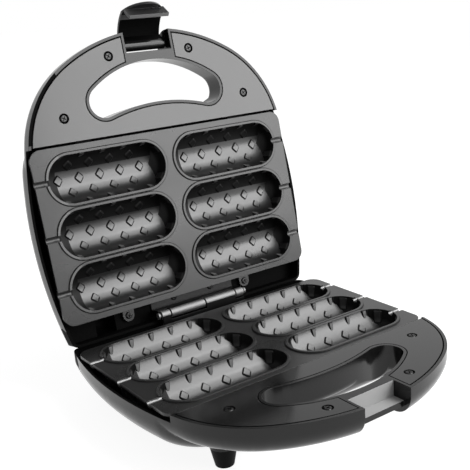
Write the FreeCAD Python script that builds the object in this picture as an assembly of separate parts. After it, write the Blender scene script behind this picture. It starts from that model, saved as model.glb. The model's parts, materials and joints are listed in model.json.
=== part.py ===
import FreeCAD, Part
import math
import os

# Electric sausage maker, shown open. Millimetres, +Z up, front towards -Y, X across.
# Each half is drawn as a base: x across, d = distance in front of the hinge axis, z down from the
# parting plane. The lid is the same half mirrored in the parting plane and swung open.

# Body outline
half_width = 121.5
front_reach = 227.5
side_radius = 336.0
side_middle = 79.5
front_turn = math.radians(31.5)
corner_turn = math.radians(77.5)
rear_corner_radius = 7.0
wall = 2.2
headroom = 20.0
vent_count = 5
vent_width = 3.0
vent_length = 34.0
vent_pitch = 12.0

# Depths below the parting plane
rim_gap = 0.4
side_rim_drop = 6.0
handle_depth = 23.0
handle_edge_radius = 16.0
belly_depth = 33.0
belly_edge_radius = 21.0
belly_front = 168.0
belly_corner_radius = 45.0
belly_rear_radius = 10.0

# Hinge and lid
axis_height = 2.0
open_angle = 101.4
stop_clearance = 0.25

# Cooking plate
plate_half_width = 115.3
plate_rear = 12.0
plate_front = 146.8
plate_corner_radius = 9.0
plate_face_drop = 1.4
plate_thickness = 2.2
skirt_inset = 3.0
skirt_depth = 8.0
skirt_wall = 2.0
row_pitch = 42.0
rows = 3
pocket_inner_end = 5.0
pocket_outer_end = 104.5
pocket_half_width = 18.45
pocket_depth = 15.5
pocket_floor_radius = 8.0
pocket_wall = 2.0
pocket_rim_width = 2.4
pocket_rim_drop = 0.3
stick_radius = 2.4
stick_wall = 1.8
lug_x = 57.0
lug_reach = 5.5
lug_radius = 5.0
lug_drop = 14.5
lug_thickness = 2.0
plate_post_x = 109.0
plate_post_drop = 12.0
plate_post_radius = 4.0
tongue_x = 70.0
tongue_width = 14.0
tongue_length = 5.0
saddle_places = [24.0, 72.0]
saddle_thickness = 4.0
saddle_wrap = 1.5
thermostat_seat_radius = 5.0
thermostat_seat_drop = 0.4

# Handle cover and grip hole
cover_gap = 0.6
cover_thickness = 2.0
cover_rear = 148.2
grip_front = 203.4
grip_front_radius = 91.0
grip_rear = 169.7
grip_rear_radius = 148.0
grip_end_radius = 12.5
grip_edge_radius = 7.0
grip_gap = 0.3
cover_screws = [(82.4, 166.8), (36.3, 209.0)]

# Latch, its notch and its catch
notch_half_width = 20.3
notch_rim = 2.0
notch_cover_gap = 0.3
notch_rear = 210.0
catch_top = 12.0
catch_thickness = 4.0
catch_front = 219.5
latch_pivot_reach = 216.0
latch_pivot_height = 9.5
latch_open_angle = 48.0
latch_barrel_radius = 4.2
latch_pin_radius = 1.5
latch_pin_recess = 0.2
latch_half_width = 18.5
latch_hook_half_width = 17.5
latch_plate_radius = 36.0
latch_bulge = 0.3
latch_plate_thickness = 2.2
latch_top = 13.6
latch_tip = 26.5
latch_middle = 6.0
latch_tab_radius = 22.0
hook_thickness = 3.0
hook_play = 0.8
hook_tip_reach = 214.0
latch_web_drop = 4.0

# Hinge leaves
knuckle_radius = 3.6
hinge_pin_radius = 1.75
pin_head_radius = 2.6
pin_head_length = 1.5
running_clearance = 0.05
knuckle_start = -35.4
knuckle_lengths = [7.5, 32.0, 29.0, 7.5]
knuckle_gap = 1.3
leaf_thickness = 1.2
leaf_foot_drop = 16.0
leaf_foot_front = 14.0
leaf_screw_inset = 18.0
leaf_screw_reach = 9.5
leaf_web_reach = 2.4
deck_thickness = 1.8
riser_gap = 0.5
riser_thickness = 1.5
riser_top_gap = 0.3

# Feet
foot_height = 14.0
foot_top_radius = 9.3
foot_bottom_radius = 6.4
foot_web = 6.0
foot_pad = 7.8
foot_bottom_round = 0.8
foot_x = 80.5
front_foot_reach = 153.0
rear_foot_reach = 14.0

# Heating
element_radius = 3.25
element_below_pocket = 1.0
element_end = 96.0
terminal_radius = 1.1
terminal_length = 8.0
clamp_width = 14.0
clamp_thickness = 1.2
clamp_overhang = 6.5
reflector_gap = 0.8
reflector_clearance = 0.3
reflector_thickness = 0.8
reflector_half_width = 104.0
reflector_rear = 20.0
reflector_front = 134.0
reflector_lip = 2.4
reflector_ledge = 4.0
thermostat_radius = 7.5
thermostat_height = 5.0
thermostat_x = -54.0
tab_length = 5.0
tab_half_width = 2.0
tab_thickness = 0.8
fuse_radius = 2.2
fuse_length = 16.0
fuse_lead_radius = 0.5
fuse_lead_length = 9.0
seat_gap = 0.1

# Fasteners
screw_radius = 1.5
screw_head_radius = 2.9
screw_head_height = 1.2
recess_depth = 0.7
recess_reach = 1.8
recess_half_width = 0.45
screw_clearance = 0.05
boss_radius = 4.2
head_clearance = 0.5
screw_length = 9.0

# Electrical fittings
gland_x = -77.0
gland_above_middle = 0.5
gland_radius = 5.2
gland_flange_radius = 7.0
gland_flange = 1.6
gland_tip_radius = 4.6
gland_bore_radius = 3.4
gland_nose_length = 4.0
gland_well_margin = 1.5
block_x = -35.0
block_length = 30.0
block_depth = 10.0
block_height = 9.0
block_ways = 3
block_bore_radius = 1.6
lens_x = 13.0
lens_reach = 139.5
lens_radius = 4.0
lens_flange_radius = 5.0
lens_flange = 1.0
lens_length = 9.0
lamp_radius = 2.5
lamp_length = 12.0

far = 400.0
near = 0.01
V = FreeCAD.Vector


def at(x, d, z):
    """A point from its place across, its reach in front of the hinge axis and its height."""
    return V(x, -d, z)


def side_centre():
    return (half_width - side_radius, side_middle)


def front_radii():
    """Radii of the front and corner arcs that join the front point to the side arc tangentially."""
    sx = half_width - side_radius * (1 - math.sin(corner_turn))
    sd = side_middle + side_radius * math.cos(corner_turn)
    a, b = math.sin(front_turn), math.sin(corner_turn) - math.sin(front_turn)
    c, e = 1 - math.cos(front_turn), math.cos(front_turn) - math.cos(corner_turn)
    drop = front_reach - sd
    det = a * e - b * c
    return (sx * e - b * drop) / det, (a * drop - sx * c) / det


front_radius, corner_radius = front_radii()
rim_below_axis = axis_height + side_rim_drop
rear_reach = rim_below_axis / math.tan(math.radians(open_angle) / 2) - stop_clearance
body_bottom = -belly_depth
gland_drop = belly_depth / 2 - gland_above_middle
pocket_underside = -(pocket_rim_drop + pocket_depth + pocket_wall)
thermostat_seat = pocket_underside - thermostat_seat_drop
element_drop = pocket_depth + element_below_pocket
reflector_drop = -thermostat_seat + thermostat_height + reflector_gap
hinge_middle = knuckle_start + (sum(knuckle_lengths) + knuckle_gap * (len(knuckle_lengths) - 1)) / 2
pocket_rows = [side_middle + row_pitch * (i - (rows - 1) / 2) for i in range(rows)]
valleys = [side_middle - row_pitch / 2, side_middle + row_pitch / 2]


def turn_point(centre, radius, angle):
    """A point on a circle in plan; the angle runs from straight ahead towards +x."""
    return (centre[0] + radius * math.sin(angle), centre[1] + radius * math.cos(angle))


def arc(centre, radius, start, end, z=0.0):
    ends = [turn_point(centre, radius, t) for t in (start, (start + end) / 2, end)]
    return Part.Arc(*[at(p[0], p[1], z) for p in ends]).toShape()


def line(p, q, z=0.0):
    return Part.makeLine(at(p[0], p[1], z), at(q[0], q[1], z))


def prism(edges, z_low, z_high):
    """Solid between two heights above the closed plan outline of the edges."""
    face = Part.Face(Part.Wire(Part.__sortEdges__(edges)))
    face.translate(V(0, 0, z_low))
    return face.extrude(V(0, 0, z_high - z_low))


def box(x_low, x_high, d_low, d_high, z_low, z_high):
    return Part.makeBox(x_high - x_low, d_high - d_low, z_high - z_low, V(x_low, -d_high, z_low))


def post(x, d, radius, z_low, z_high):
    return Part.makeCylinder(radius, z_high - z_low, at(x, d, z_low))


def bar_along_x(radius, x_low, x_high, d, z):
    return Part.makeCylinder(radius, x_high - x_low, at(x_low, d, z), V(1, 0, 0))


def bar_rearward(radius, x, start, length, z):
    """Round bar that runs to the rear from a start behind the hinge axis."""
    return Part.makeCylinder(radius, length, V(x, start, z), V(0, 1, 0))


def profile_prism(points, x_low, x_high):
    """Solid across the body from a closed outline of (d, z) points."""
    corners = [at(x_low, d, z) for d, z in points]
    face = Part.Face(Part.makePolygon(corners + corners[:1]))
    return face.extrude(V(x_high - x_low, 0, 0))


def join(shapes):
    first = shapes[0]
    return first.fuse(shapes[1:]) if len(shapes) > 1 else first


def mirror_x(shape):
    return shape.mirror(V(0, 0, 0), V(1, 0, 0))


def both_sides(edges):
    return edges + [mirror_x(e) for e in edges]


def front_edges(inset):
    """Right half of the front outline, from the front point to the end of the corner arc."""
    radius = front_radius - inset
    centre = (0.0, front_reach - front_radius)
    first = arc(centre, radius, 0.0, front_turn)
    corner_centre = turn_point(centre, front_radius - corner_radius, front_turn)
    second = arc(corner_centre, corner_radius - inset, front_turn, corner_turn)
    return [first, second]


def side_angle(inset, d):
    return math.acos((d - side_middle) / (side_radius - inset))


def side_point(inset, d):
    return turn_point(side_centre(), side_radius - inset, side_angle(inset, d))


def closed_outline(inset, rear):
    """Edges of the whole outline, cut straight across at the given rear reach."""
    side = arc(side_centre(), side_radius - inset, corner_turn, side_angle(inset, rear))
    end = side_point(inset, rear)
    across = line(end, (-end[0], end[1]))
    return both_sides(front_edges(inset) + [side]) + [across]


def belly_outline(inset, rear):
    """Edges of the deep part's outline, with a straight front between two large corners."""
    radius = side_radius - inset
    corner = belly_corner_radius - inset
    front = belly_front - inset
    centre_d = front - corner
    reach = radius - corner
    centre_x = side_centre()[0] + math.sqrt(reach ** 2 - (centre_d - side_middle) ** 2)
    turn = math.atan2(centre_x - side_centre()[0], centre_d - side_middle)
    bend = arc((centre_x, centre_d), corner, 0.0, turn)
    side = arc(side_centre(), radius, turn, side_angle(inset, rear))
    end = side_point(inset, rear)
    return both_sides([bend, side]) + [line((centre_x, front), (-centre_x, front)),
                                       line(end, (-end[0], end[1]))]


def edges_at(solid, z, d_limit):
    """Edges that lie at one height and reach in front of a limit."""
    found = []
    for edge in solid.Edges:
        bounds = edge.BoundBox
        flat = abs(bounds.ZMax - z) < near and abs(bounds.ZMin - z) < near
        if flat and -bounds.YMin > d_limit:
            found.append(edge)
    return found


def tier(edges, depth, radius, rear):
    """A prism down to a depth, with its lower edge rounded everywhere but at the rear."""
    solid = prism(edges, -depth, headroom)
    return solid.makeFillet(radius, edges_at(solid, -depth, rear + near))


def round_grip_edge(solid, inset):
    """Round the far edge of the grip hole, where fingers wrap round it."""
    level = -(handle_depth - inset)
    rim = Part.makeCompound(grip_outline(inset))
    rim.translate(V(0, 0, level))
    found = []
    for edge in edges_at(solid, level, 0.0):
        middle = Part.Vertex(edge.valueAt((edge.FirstParameter + edge.LastParameter) / 2))
        if middle.distToShape(rim)[0] < near:
            found.append(edge)
    return solid.makeFillet(grip_edge_radius - inset, found)


def rear_corner_cutter(inset):
    """The waste outside the right rear corner's round."""
    radius = rear_corner_radius - inset
    rear = -(rear_reach - inset)
    centre_d = rear + radius
    reach = side_radius - inset - radius
    centre_x = side_centre()[0] + math.sqrt(reach ** 2 - (centre_d - side_middle) ** 2)
    turn = math.atan2(centre_x - side_centre()[0], centre_d - side_middle)
    start = turn_point((centre_x, centre_d), radius, turn)
    end = (centre_x, rear)
    out = rear_corner_radius * 2
    corners = [start, (start[0] + out, start[1]), (start[0] + out, rear - out), (end[0], rear - out), end]
    edges = [line(corners[i], corners[i + 1]) for i in range(len(corners) - 1)]
    return prism(edges + [arc((centre_x, centre_d), radius, turn, math.pi)], -far, far)


def body(inset):
    """The solid form of one half, shrunk by an inset all round."""
    rear = -2 * rear_corner_radius - rear_reach
    upper = tier(closed_outline(inset, rear), handle_depth - inset, handle_edge_radius - inset, rear)
    belly = tier(belly_outline(inset, rear), belly_depth - inset, belly_edge_radius - inset, rear)
    hole = prism(grip_outline(inset), -far, far)
    whole = round_grip_edge(upper.cut(hole), inset).fuse(belly.cut(hole))
    bottom = -(belly_depth - inset)
    back = -(rear_reach - inset)
    radius = belly_rear_radius - inset
    profile = [at(-far, back + radius, bottom), at(-far, far, bottom), at(-far, far, headroom),
               at(-far, back, headroom), at(-far, back, bottom + radius)]
    lean = radius * (1 - math.sqrt(0.5))
    round_edge = Part.Arc(profile[4], at(-far, back + lean, bottom + lean), profile[0]).toShape()
    lines = [Part.makeLine(profile[i], profile[i + 1]) for i in range(4)]
    side = Part.Face(Part.Wire(Part.__sortEdges__(lines + [round_edge])))
    whole = whole.common(side.extrude(V(2 * far, 0, 0)))
    cutter = rear_corner_cutter(inset)
    return whole.cut([cutter, mirror_x(cutter)])


def grip_outline(offset):
    """Four tangent arcs of the bean shaped grip hole, grown by an offset."""
    front_centre = grip_front - grip_front_radius
    rear_centre = grip_rear - grip_rear_radius
    inner = grip_front_radius - grip_end_radius
    outer = grip_rear_radius + grip_end_radius
    gap = front_centre - rear_centre
    end_d = ((outer ** 2 - inner ** 2) / gap + front_centre + rear_centre) / 2
    end_x = math.sqrt(inner ** 2 - (end_d - front_centre) ** 2)
    end_radius = grip_end_radius + offset
    front_angle = math.atan2(end_x, end_d - front_centre)
    rear_angle = math.atan2(end_x, end_d - rear_centre)
    return [arc((0.0, front_centre), grip_front_radius + offset, -front_angle, front_angle),
            arc((end_x, end_d), end_radius, front_angle, math.pi + rear_angle),
            arc((-end_x, end_d), end_radius, -front_angle, -math.pi - rear_angle),
            arc((0.0, rear_centre), grip_rear_radius - offset, -rear_angle, rear_angle)]


def screw(x, d, seat, length, up=True):
    """A pan head cross recess screw; its head rests on the seat and its shank points away."""
    way = 1 if up else -1
    low, high = sorted((seat, seat + way * screw_head_height))
    head = post(x, d, screw_head_radius, low, high)
    low, high = sorted((seat, seat - way * length))
    shank = post(x, d, screw_radius, low, high)
    top = seat + way * screw_head_height
    low, high = sorted((top, top - way * recess_depth))
    cross = [box(x - recess_reach, x + recess_reach, d - recess_half_width, d + recess_half_width, low, high),
             box(x - recess_half_width, x + recess_half_width, d - recess_reach, d + recess_reach, low, high)]
    return head.fuse(shank).cut(cross)


def cover_screw_places():
    return [(s * x, d) for x, d in cover_screws for s in (-1, 1)]


def pocket(grow, top):
    """Space of one right hand pocket along x at d = 0, or its outer form when grown."""
    half = pocket_half_width + grow
    floor = -(pocket_rim_drop + pocket_depth) - grow
    start = pocket_inner_end + pocket_half_width
    end = pocket_outer_end - pocket_half_width
    edges = [arc((start, 0.0), half, 0.0, -math.pi), arc((end, 0.0), half, 0.0, math.pi),
             line((start, half), (end, half)), line((start, -half), (end, -half))]
    solid = prism(edges, floor, top)
    rim = [e for e in solid.Edges if abs(e.BoundBox.ZMax - floor) < near]
    solid = solid.makeFillet(pocket_floor_radius + grow, rim)
    bow = (pocket_half_width ** 2 + pocket_depth ** 2) / (2 * pocket_depth)
    trough = bar_along_x(bow + grow, -far, far, 0.0, floor + bow + grow)
    return solid.common(trough)


def pocket_rim(width, top):
    """A raised band round one right hand pocket."""
    half = pocket_half_width + width
    start = pocket_inner_end + pocket_half_width
    end = pocket_outer_end - pocket_half_width
    edges = [arc((start, 0.0), half, 0.0, -math.pi), arc((end, 0.0), half, 0.0, math.pi),
             line((start, half), (end, half)), line((start, -half), (end, -half))]
    return prism(edges, -plate_face_drop - plate_thickness, top)


def placed_in_rows(shape):
    """Six copies of a right hand form at d = 0: three rows on each side."""
    copies = []
    for row in pocket_rows:
        right = shape.copy()
        right.translate(at(0, row, 0))
        copies += [right, mirror_x(right)]
    return copies


def rounded_plate(inset, z_low, z_high):
    half = plate_half_width - inset
    solid = box(-half, half, plate_rear + inset, plate_front - inset, z_low, z_high)
    upright = [e for e in solid.Edges if e.BoundBox.XLength < near and e.BoundBox.YLength < near]
    return solid.makeFillet(plate_corner_radius - inset, upright)


def cooking_plate():
    """Cast plate with six pockets, their rims, stick grooves, skirt, lugs, tongues and seats."""
    face = -plate_face_drop
    under = face - plate_thickness
    sheet = rounded_plate(0.0, under, face)
    skirt = rounded_plate(skirt_inset, -skirt_depth, under)
    skirt = skirt.cut(rounded_plate(skirt_inset + skirt_wall, -far, far))
    skirt_rear = plate_rear + skirt_inset
    skirt_front = plate_front - skirt_inset - skirt_wall
    groove_start = pocket_outer_end - stick_wall
    groove_bar = bar_along_x(stick_radius + stick_wall, groove_start, plate_half_width, 0, face)
    groove_bar = groove_bar.common(box(0, far, -far, far, -far, face))
    adds = [skirt]
    adds += placed_in_rows(pocket(pocket_wall, face))
    adds += placed_in_rows(pocket_rim(pocket_rim_width, -pocket_rim_drop))
    adds += placed_in_rows(groove_bar)
    for s in (-1, 1):
        adds += [post(s * plate_post_x, d, plate_post_radius, -plate_post_drop, under) for d in valleys]
        lug_low = -lug_drop - lug_thickness
        adds.append(post(s * lug_x, lug_reach, lug_radius, lug_low, -lug_drop))
        adds.append(box(s * lug_x - lug_radius, s * lug_x + lug_radius, lug_reach, skirt_rear + skirt_wall,
                        lug_low, -lug_drop))
        adds.append(box(s * lug_x - lug_radius, s * lug_x + lug_radius, skirt_rear, skirt_rear + skirt_wall,
                        lug_low, -skirt_depth))
        tongue_low = -(rim_gap + cover_thickness) - plate_thickness
        adds.append(box(s * tongue_x - tongue_width / 2, s * tongue_x + tongue_width / 2,
                        skirt_front, plate_front + tongue_length,
                        tongue_low - screw_clearance, -(rim_gap + cover_thickness) - screw_clearance))
        for x in saddle_places:
            adds += [box(s * x - saddle_thickness / 2, s * x + saddle_thickness / 2, d - element_radius,
                         d + element_radius, -element_drop + saddle_wrap, under) for d in valleys]
    clamp_seat = -(element_drop + element_radius)
    adds.append(post(0.0, side_middle, plate_post_radius, clamp_seat, under))
    adds.append(post(thermostat_x, side_middle, thermostat_seat_radius, thermostat_seat, under))
    plate = join([sheet] + adds)
    cuts = placed_in_rows(pocket(0.0, headroom))
    cuts += placed_in_rows(bar_along_x(stick_radius, pocket_outer_end - pocket_half_width, far / 2, 0, face))
    cuts += [post(s * lug_x, lug_reach, screw_radius + screw_clearance, -far, far) for s in (-1, 1)]
    cuts.append(post(0.0, side_middle, screw_radius + screw_clearance, -far, -skirt_depth))
    cuts += [bar_along_x(element_radius + seat_gap, -far, far, d, -element_drop) for d in valleys]
    return plate.cut(cuts)


def handle_cover():
    """Flat cover of the handle, cut round the grip hole and the latch's notch."""
    low = -rim_gap - cover_thickness
    solid = prism(closed_outline(wall + cover_gap, plate_rear), low, -rim_gap)
    solid = solid.cut(box(-far, far, -far, cover_rear, -far, far))
    notch = notch_half_width + notch_rim + notch_cover_gap
    solid = solid.cut(box(-notch, notch, (grip_front + grip_rear) / 2, far, -far, far))
    hole = prism(grip_outline(wall + grip_gap), -far, far)
    solid = solid.cut(hole)
    head_room = screw_head_radius + head_clearance
    seat = -rim_gap - screw_head_height
    for x, d in cover_screw_places():
        solid = solid.cut(post(x, d, head_room, seat, far))
        solid = solid.cut(post(x, d, screw_radius + screw_clearance, -far, far))
    return solid


def deck_top():
    return -leaf_foot_drop - leaf_thickness


def rear_deck():
    """Floor under the hinge leaf, and the riser that closes it up to the plate's skirt."""
    low = deck_top() - deck_thickness
    riser_rear = plate_rear + skirt_inset + skirt_wall + riser_gap
    riser_front = riser_rear + riser_thickness
    deck = box(-far, far, -rear_reach, riser_front, low, deck_top())
    well = gland_flange_radius + gland_well_margin
    deck = deck.cut(box(gland_x - well, gland_x + well, -far, riser_rear, -far, far))
    riser = box(-far, far, riser_rear, riser_front, low, -skirt_depth - riser_top_gap)
    return [deck, riser.cut(placed_in_rows(pocket(pocket_wall + riser_gap, -plate_face_drop)))]


def shell():
    """Moulded shell that both halves share: walls, notch walls, screw bosses and rear deck."""
    outer = body(0.0)
    inner = body(wall)
    cover_under = -rim_gap - cover_thickness
    notch_side = notch_half_width + notch_rim
    block = box(-notch_side, notch_side, grip_front - notch_rim, far, -far, far)
    bosses = [post(x, d, boss_radius, -far, cover_under) for x, d in cover_screw_places()]
    for s in (-1, 1):
        bosses.append(post(s * lug_x, lug_reach, lug_radius, -far, -lug_drop - lug_thickness))
        ledge = plate_post_radius + reflector_ledge
        for d in valleys:
            bosses.append(post(s * plate_post_x, d, plate_post_radius, -far, -plate_post_drop))
            bosses.append(post(s * plate_post_x, d, ledge, -far, -reflector_drop - reflector_thickness))
    for x in leaf_screw_places():
        bosses.append(post(x, leaf_screw_reach, boss_radius, -far, deck_top()))
    fittings = join([block] + bosses + rear_deck()).common(outer)
    solid = outer.cut(inner).fuse(fittings)
    rim_line = (plate_front + cover_rear) / 2
    solid = solid.cut(box(-far, far, -far, far, -rim_gap, far))
    solid = solid.cut(box(-far, far, -far, rim_line, -side_rim_drop, far))
    solid = solid.cut(box(-notch_half_width, notch_half_width, notch_rear, far, -far, far))
    bore = screw_radius + screw_clearance
    floor = handle_depth - wall
    solid = solid.cut([post(x, d, bore, -floor, far) for x, d in cover_screw_places()])
    deep = belly_depth - wall
    solid = solid.cut([post(s * lug_x, lug_reach, bore, -deep, far) for s in (-1, 1)])
    solid = solid.cut([post(x, leaf_screw_reach, bore, -deep, far) for x in leaf_screw_places()])
    return solid.removeSplitter()


def leaf_screw_places():
    return [hinge_middle - leaf_screw_inset, hinge_middle + leaf_screw_inset]


def knuckle_spans(start):
    """Spans along x of every second knuckle, from the first or from the second."""
    spans = []
    x = knuckle_start
    for i, length in enumerate(knuckle_lengths):
        if i % 2 == start:
            spans.append((x, x + length))
        x += length + knuckle_gap
    return spans


def hinge_leaf(start, rise):
    """Leaf below the axis at height rise: knuckles, a standing web and a foot on the bosses."""
    spans = knuckle_spans(start)
    x_low = knuckle_start
    x_high = 2 * hinge_middle - knuckle_start
    foot_top = -leaf_foot_drop
    web_front = leaf_web_reach + leaf_thickness
    foot = box(x_low, x_high, leaf_web_reach, leaf_foot_front, foot_top - leaf_thickness, foot_top)
    free_top = rise - knuckle_radius - knuckle_gap / 2
    web = box(x_low, x_high, leaf_web_reach, web_front, foot_top, free_top)
    parts = [foot, web]
    for low, high in spans:
        parts.append(bar_along_x(knuckle_radius, low, high, 0, rise))
        parts.append(box(low, high, leaf_web_reach, web_front, foot_top, rise))
    leaf = join(parts)
    bore = bar_along_x(hinge_pin_radius + running_clearance, -far, far, 0, rise)
    hole = screw_radius + screw_clearance
    holes = [post(x, leaf_screw_reach, hole, -far, far) for x in leaf_screw_places()]
    return leaf.cut([bore] + holes).removeSplitter()


def hinge_pin():
    """Pin through all knuckles, with a head at each end."""
    low = knuckle_start - knuckle_gap
    high = 2 * hinge_middle - low
    shaft = bar_along_x(hinge_pin_radius, low, high, 0, axis_height)
    heads = [bar_along_x(pin_head_radius, x, x + pin_head_length, 0, axis_height)
             for x in (low - pin_head_length, high)]
    return join([shaft] + heads)


def pipe(path_edges, radius, normal):
    """Round bar along a path of lines and arcs."""
    path = Part.Wire(path_edges)
    start = path_edges[0].firstVertex().Point
    section = Part.Wire([Part.makeCircle(radius, start, normal)])
    return path.makePipeShell([section], True, False)


def heating_element():
    """Tubular element in the two valleys between the rows, joined by a round end."""
    z = -element_drop
    end = pocket_outer_end - pocket_half_width
    bend_radius = row_pitch / 2
    first = Part.makeLine(at(-element_end, valleys[0], z), at(end, valleys[0], z))
    bend = Part.Arc(at(end, valleys[0], z), at(end + bend_radius, side_middle, z),
                    at(end, valleys[1], z)).toShape()
    last = Part.makeLine(at(end, valleys[1], z), at(-element_end, valleys[1], z))
    tube = pipe([first, bend, last], element_radius, V(1, 0, 0))
    pin_end = -element_end - terminal_length
    pins = [bar_along_x(terminal_radius, pin_end, -element_end, d, z) for d in valleys]
    return join([tube] + pins)


def element_clamp():
    """Bar across the middle of the element, with a hole for its screw."""
    top = -(element_drop + element_radius)
    bar = box(-clamp_width / 2, clamp_width / 2, valleys[0] - clamp_overhang, valleys[1] + clamp_overhang,
              top - clamp_thickness, top)
    return bar.cut(post(0.0, side_middle, screw_radius + screw_clearance, -far, far))


def heat_reflector():
    """Thin tray under the element, turned up round its edge and cleared for the posts."""
    low = -reflector_drop - reflector_thickness
    side = reflector_half_width
    hollow_side = side - reflector_thickness
    tray = box(-side, side, reflector_rear, reflector_front, low, -reflector_drop + reflector_lip)
    tray = tray.cut(box(-hollow_side, hollow_side, reflector_rear + reflector_thickness,
                        reflector_front - reflector_thickness, -reflector_drop, far))
    room = plate_post_radius + head_clearance
    holes = []
    for s in (-1, 1):
        for d in valleys:
            holes.append(post(s * plate_post_x, d, room, -far, far))
            inner, outer = sorted((s * plate_post_x, s * far))
            holes.append(box(inner, outer, d - room, d + room, -far, far))
    holes += foot_pads(reflector_clearance)
    return tray.common(body(wall + reflector_clearance)).cut(holes)


def foot_places():
    return [(side + "_" + end, sign * foot_x, d)
            for end, d in (("front", front_foot_reach), ("rear", rear_foot_reach))
            for side, sign in (("left", -1), ("right", 1))]


def foot_pads(grow):
    """Raised seats of the feet inside the base, or the room round them when grown."""
    return [post(x, d, foot_top_radius + grow, body_bottom, body_bottom + foot_pad + grow)
            for name, x, d in foot_places()]


def foot(x, d):
    """Tapered foot with a well for its screw."""
    low = body_bottom - foot_height
    solid = Part.makeCone(foot_bottom_radius, foot_top_radius, foot_height, at(x, d, low))
    rim = [e for e in solid.Edges if abs(e.BoundBox.ZMax - low) < near]
    solid = solid.makeFillet(foot_bottom_round, rim)
    solid = solid.cut(post(x, d, screw_radius + screw_clearance, low, body_bottom))
    return solid.cut(post(x, d, screw_head_radius + head_clearance, -far, body_bottom - foot_web))


def catch_shelf():
    """Shelf across the base's notch that the latch hooks under."""
    side = notch_half_width + notch_rim / 2
    return box(-side, side, notch_rear - notch_rim, catch_front, -catch_top - catch_thickness, -catch_top)


def base_shell():
    solid = shell().fuse(catch_shelf())
    solid = solid.fuse(foot_pads(0.0))
    bore = screw_radius + screw_clearance
    cuts = [post(x, d, bore, -far, body_bottom + foot_pad - wall / 2) for name, x, d in foot_places()]
    cuts.append(bar_rearward(gland_radius + screw_clearance, gland_x, 0.0, far, -gland_drop))
    for i in range(vent_count):
        d = side_middle + (i - (vent_count - 1) / 2) * vent_pitch
        cuts.append(box(-vent_length / 2, vent_length / 2, d - vent_width / 2, d + vent_width / 2,
                        -far, body_bottom + wall))
    cuts.append(post(block_x, block_middle(), bore, body_bottom + wall / 2, body_bottom + block_height))
    return solid.cut(cuts).removeSplitter()


def lid_shell():
    solid = shell()
    pin_hole = bar_along_x(latch_pin_radius + screw_clearance, -notch_half_width - notch_rim,
                           notch_half_width + notch_rim, latch_pivot_reach, -latch_pivot_height)
    lens_holes = [post(s * lens_x, lens_reach, lens_radius + screw_clearance, -far, body_bottom + wall)
                  for s in (-1, 1)]
    return solid.cut([pin_hole] + lens_holes)


def lens(x):
    """Lamp lens with an outer flange and a cup for the lamp."""
    top = body_bottom
    flange = post(x, lens_reach, lens_flange_radius, top - lens_flange, top)
    tube = post(x, lens_reach, lens_radius, top, top + lens_length)
    cup = post(x, lens_reach, lamp_radius + seat_gap, top + lens_flange, far)
    return flange.fuse(tube).cut(cup)


def lamp(x):
    low = body_bottom + lens_flange + seat_gap
    bulb = post(x, lens_reach, lamp_radius, low, low + lamp_length)
    tip = [e for e in bulb.Edges if abs(e.BoundBox.ZMin - low - lamp_length) < near]
    return bulb.makeFillet(lamp_radius / 2, tip)


def cord_gland():
    """Gland in the rear wall: flanges on both sides, a tapered nose and the cord's bore."""
    def ring(radius, start, length):
        return bar_rearward(radius, gland_x, start, length, -gland_drop)
    inside = rear_reach - wall
    nose_start = rear_reach + gland_flange
    nose = Part.makeCone(gland_radius, gland_tip_radius, gland_nose_length,
                         V(gland_x, nose_start, -gland_drop), V(0, 1, 0))
    solid = join([ring(gland_flange_radius, inside - gland_flange, gland_flange),
                  ring(gland_radius, inside - gland_flange, wall + 2 * gland_flange),
                  ring(gland_flange_radius, rear_reach, gland_flange), nose])
    bore = ring(gland_bore_radius, inside - 2 * gland_flange, far)
    return solid.cut(bore)


def block_middle():
    return reflector_front + head_clearance + block_depth / 2


def terminal_block():
    """Terminal block on the floor, with a wire bore and a screw well for each way."""
    d = block_middle()
    low = body_bottom + wall
    solid = box(block_x - block_length / 2, block_x + block_length / 2, d - block_depth / 2,
                d + block_depth / 2, low, low + block_height)
    pitch = block_length / block_ways
    cuts = [post(block_x, d, screw_radius + screw_clearance, low, far),
            post(block_x, d, screw_head_radius + head_clearance, low + block_height / 2, far)]
    for i in range(block_ways):
        x = block_x + (i - (block_ways - 1) / 2) * pitch
        if x != block_x:
            cuts.append(bar_rearward(block_bore_radius, x, -far, 2 * far, low + block_height / 2))
            cuts.append(post(x, d, block_bore_radius, low + block_height / 2, far))
    return solid.cut(cuts)


def thermostat():
    """Disc thermostat on the seat under the middle pocket, with two terminal tabs."""
    top = thermostat_seat
    low = top - thermostat_height
    disc = post(thermostat_x, side_middle, thermostat_radius, low, top)
    reach = thermostat_radius + tab_length
    tabs = box(thermostat_x - reach, thermostat_x + reach, side_middle - tab_half_width,
               side_middle + tab_half_width, low, low + tab_thickness)
    return disc.fuse(tabs)


def thermal_fuse():
    """Fuse in its sleeve under the front pocket, with a lead at each end."""
    z = pocket_underside - seat_gap - fuse_radius
    d = pocket_rows[-1]
    half = fuse_length / 2
    sleeve = bar_along_x(fuse_radius, thermostat_x - half, thermostat_x + half, d, z)
    reach = half + fuse_lead_length
    return sleeve.fuse(bar_along_x(fuse_lead_radius, thermostat_x - reach, thermostat_x + reach, d, z))


def latch_plate_centre():
    return front_reach + latch_bulge - latch_plate_radius


def plate_middle(z):
    """Reach of the middle of the latch plate's thickness at a height, in the closed place."""
    radius = latch_plate_radius - latch_plate_thickness / 2
    return latch_plate_centre() + math.sqrt(radius ** 2 - (z + latch_middle) ** 2)


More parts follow.
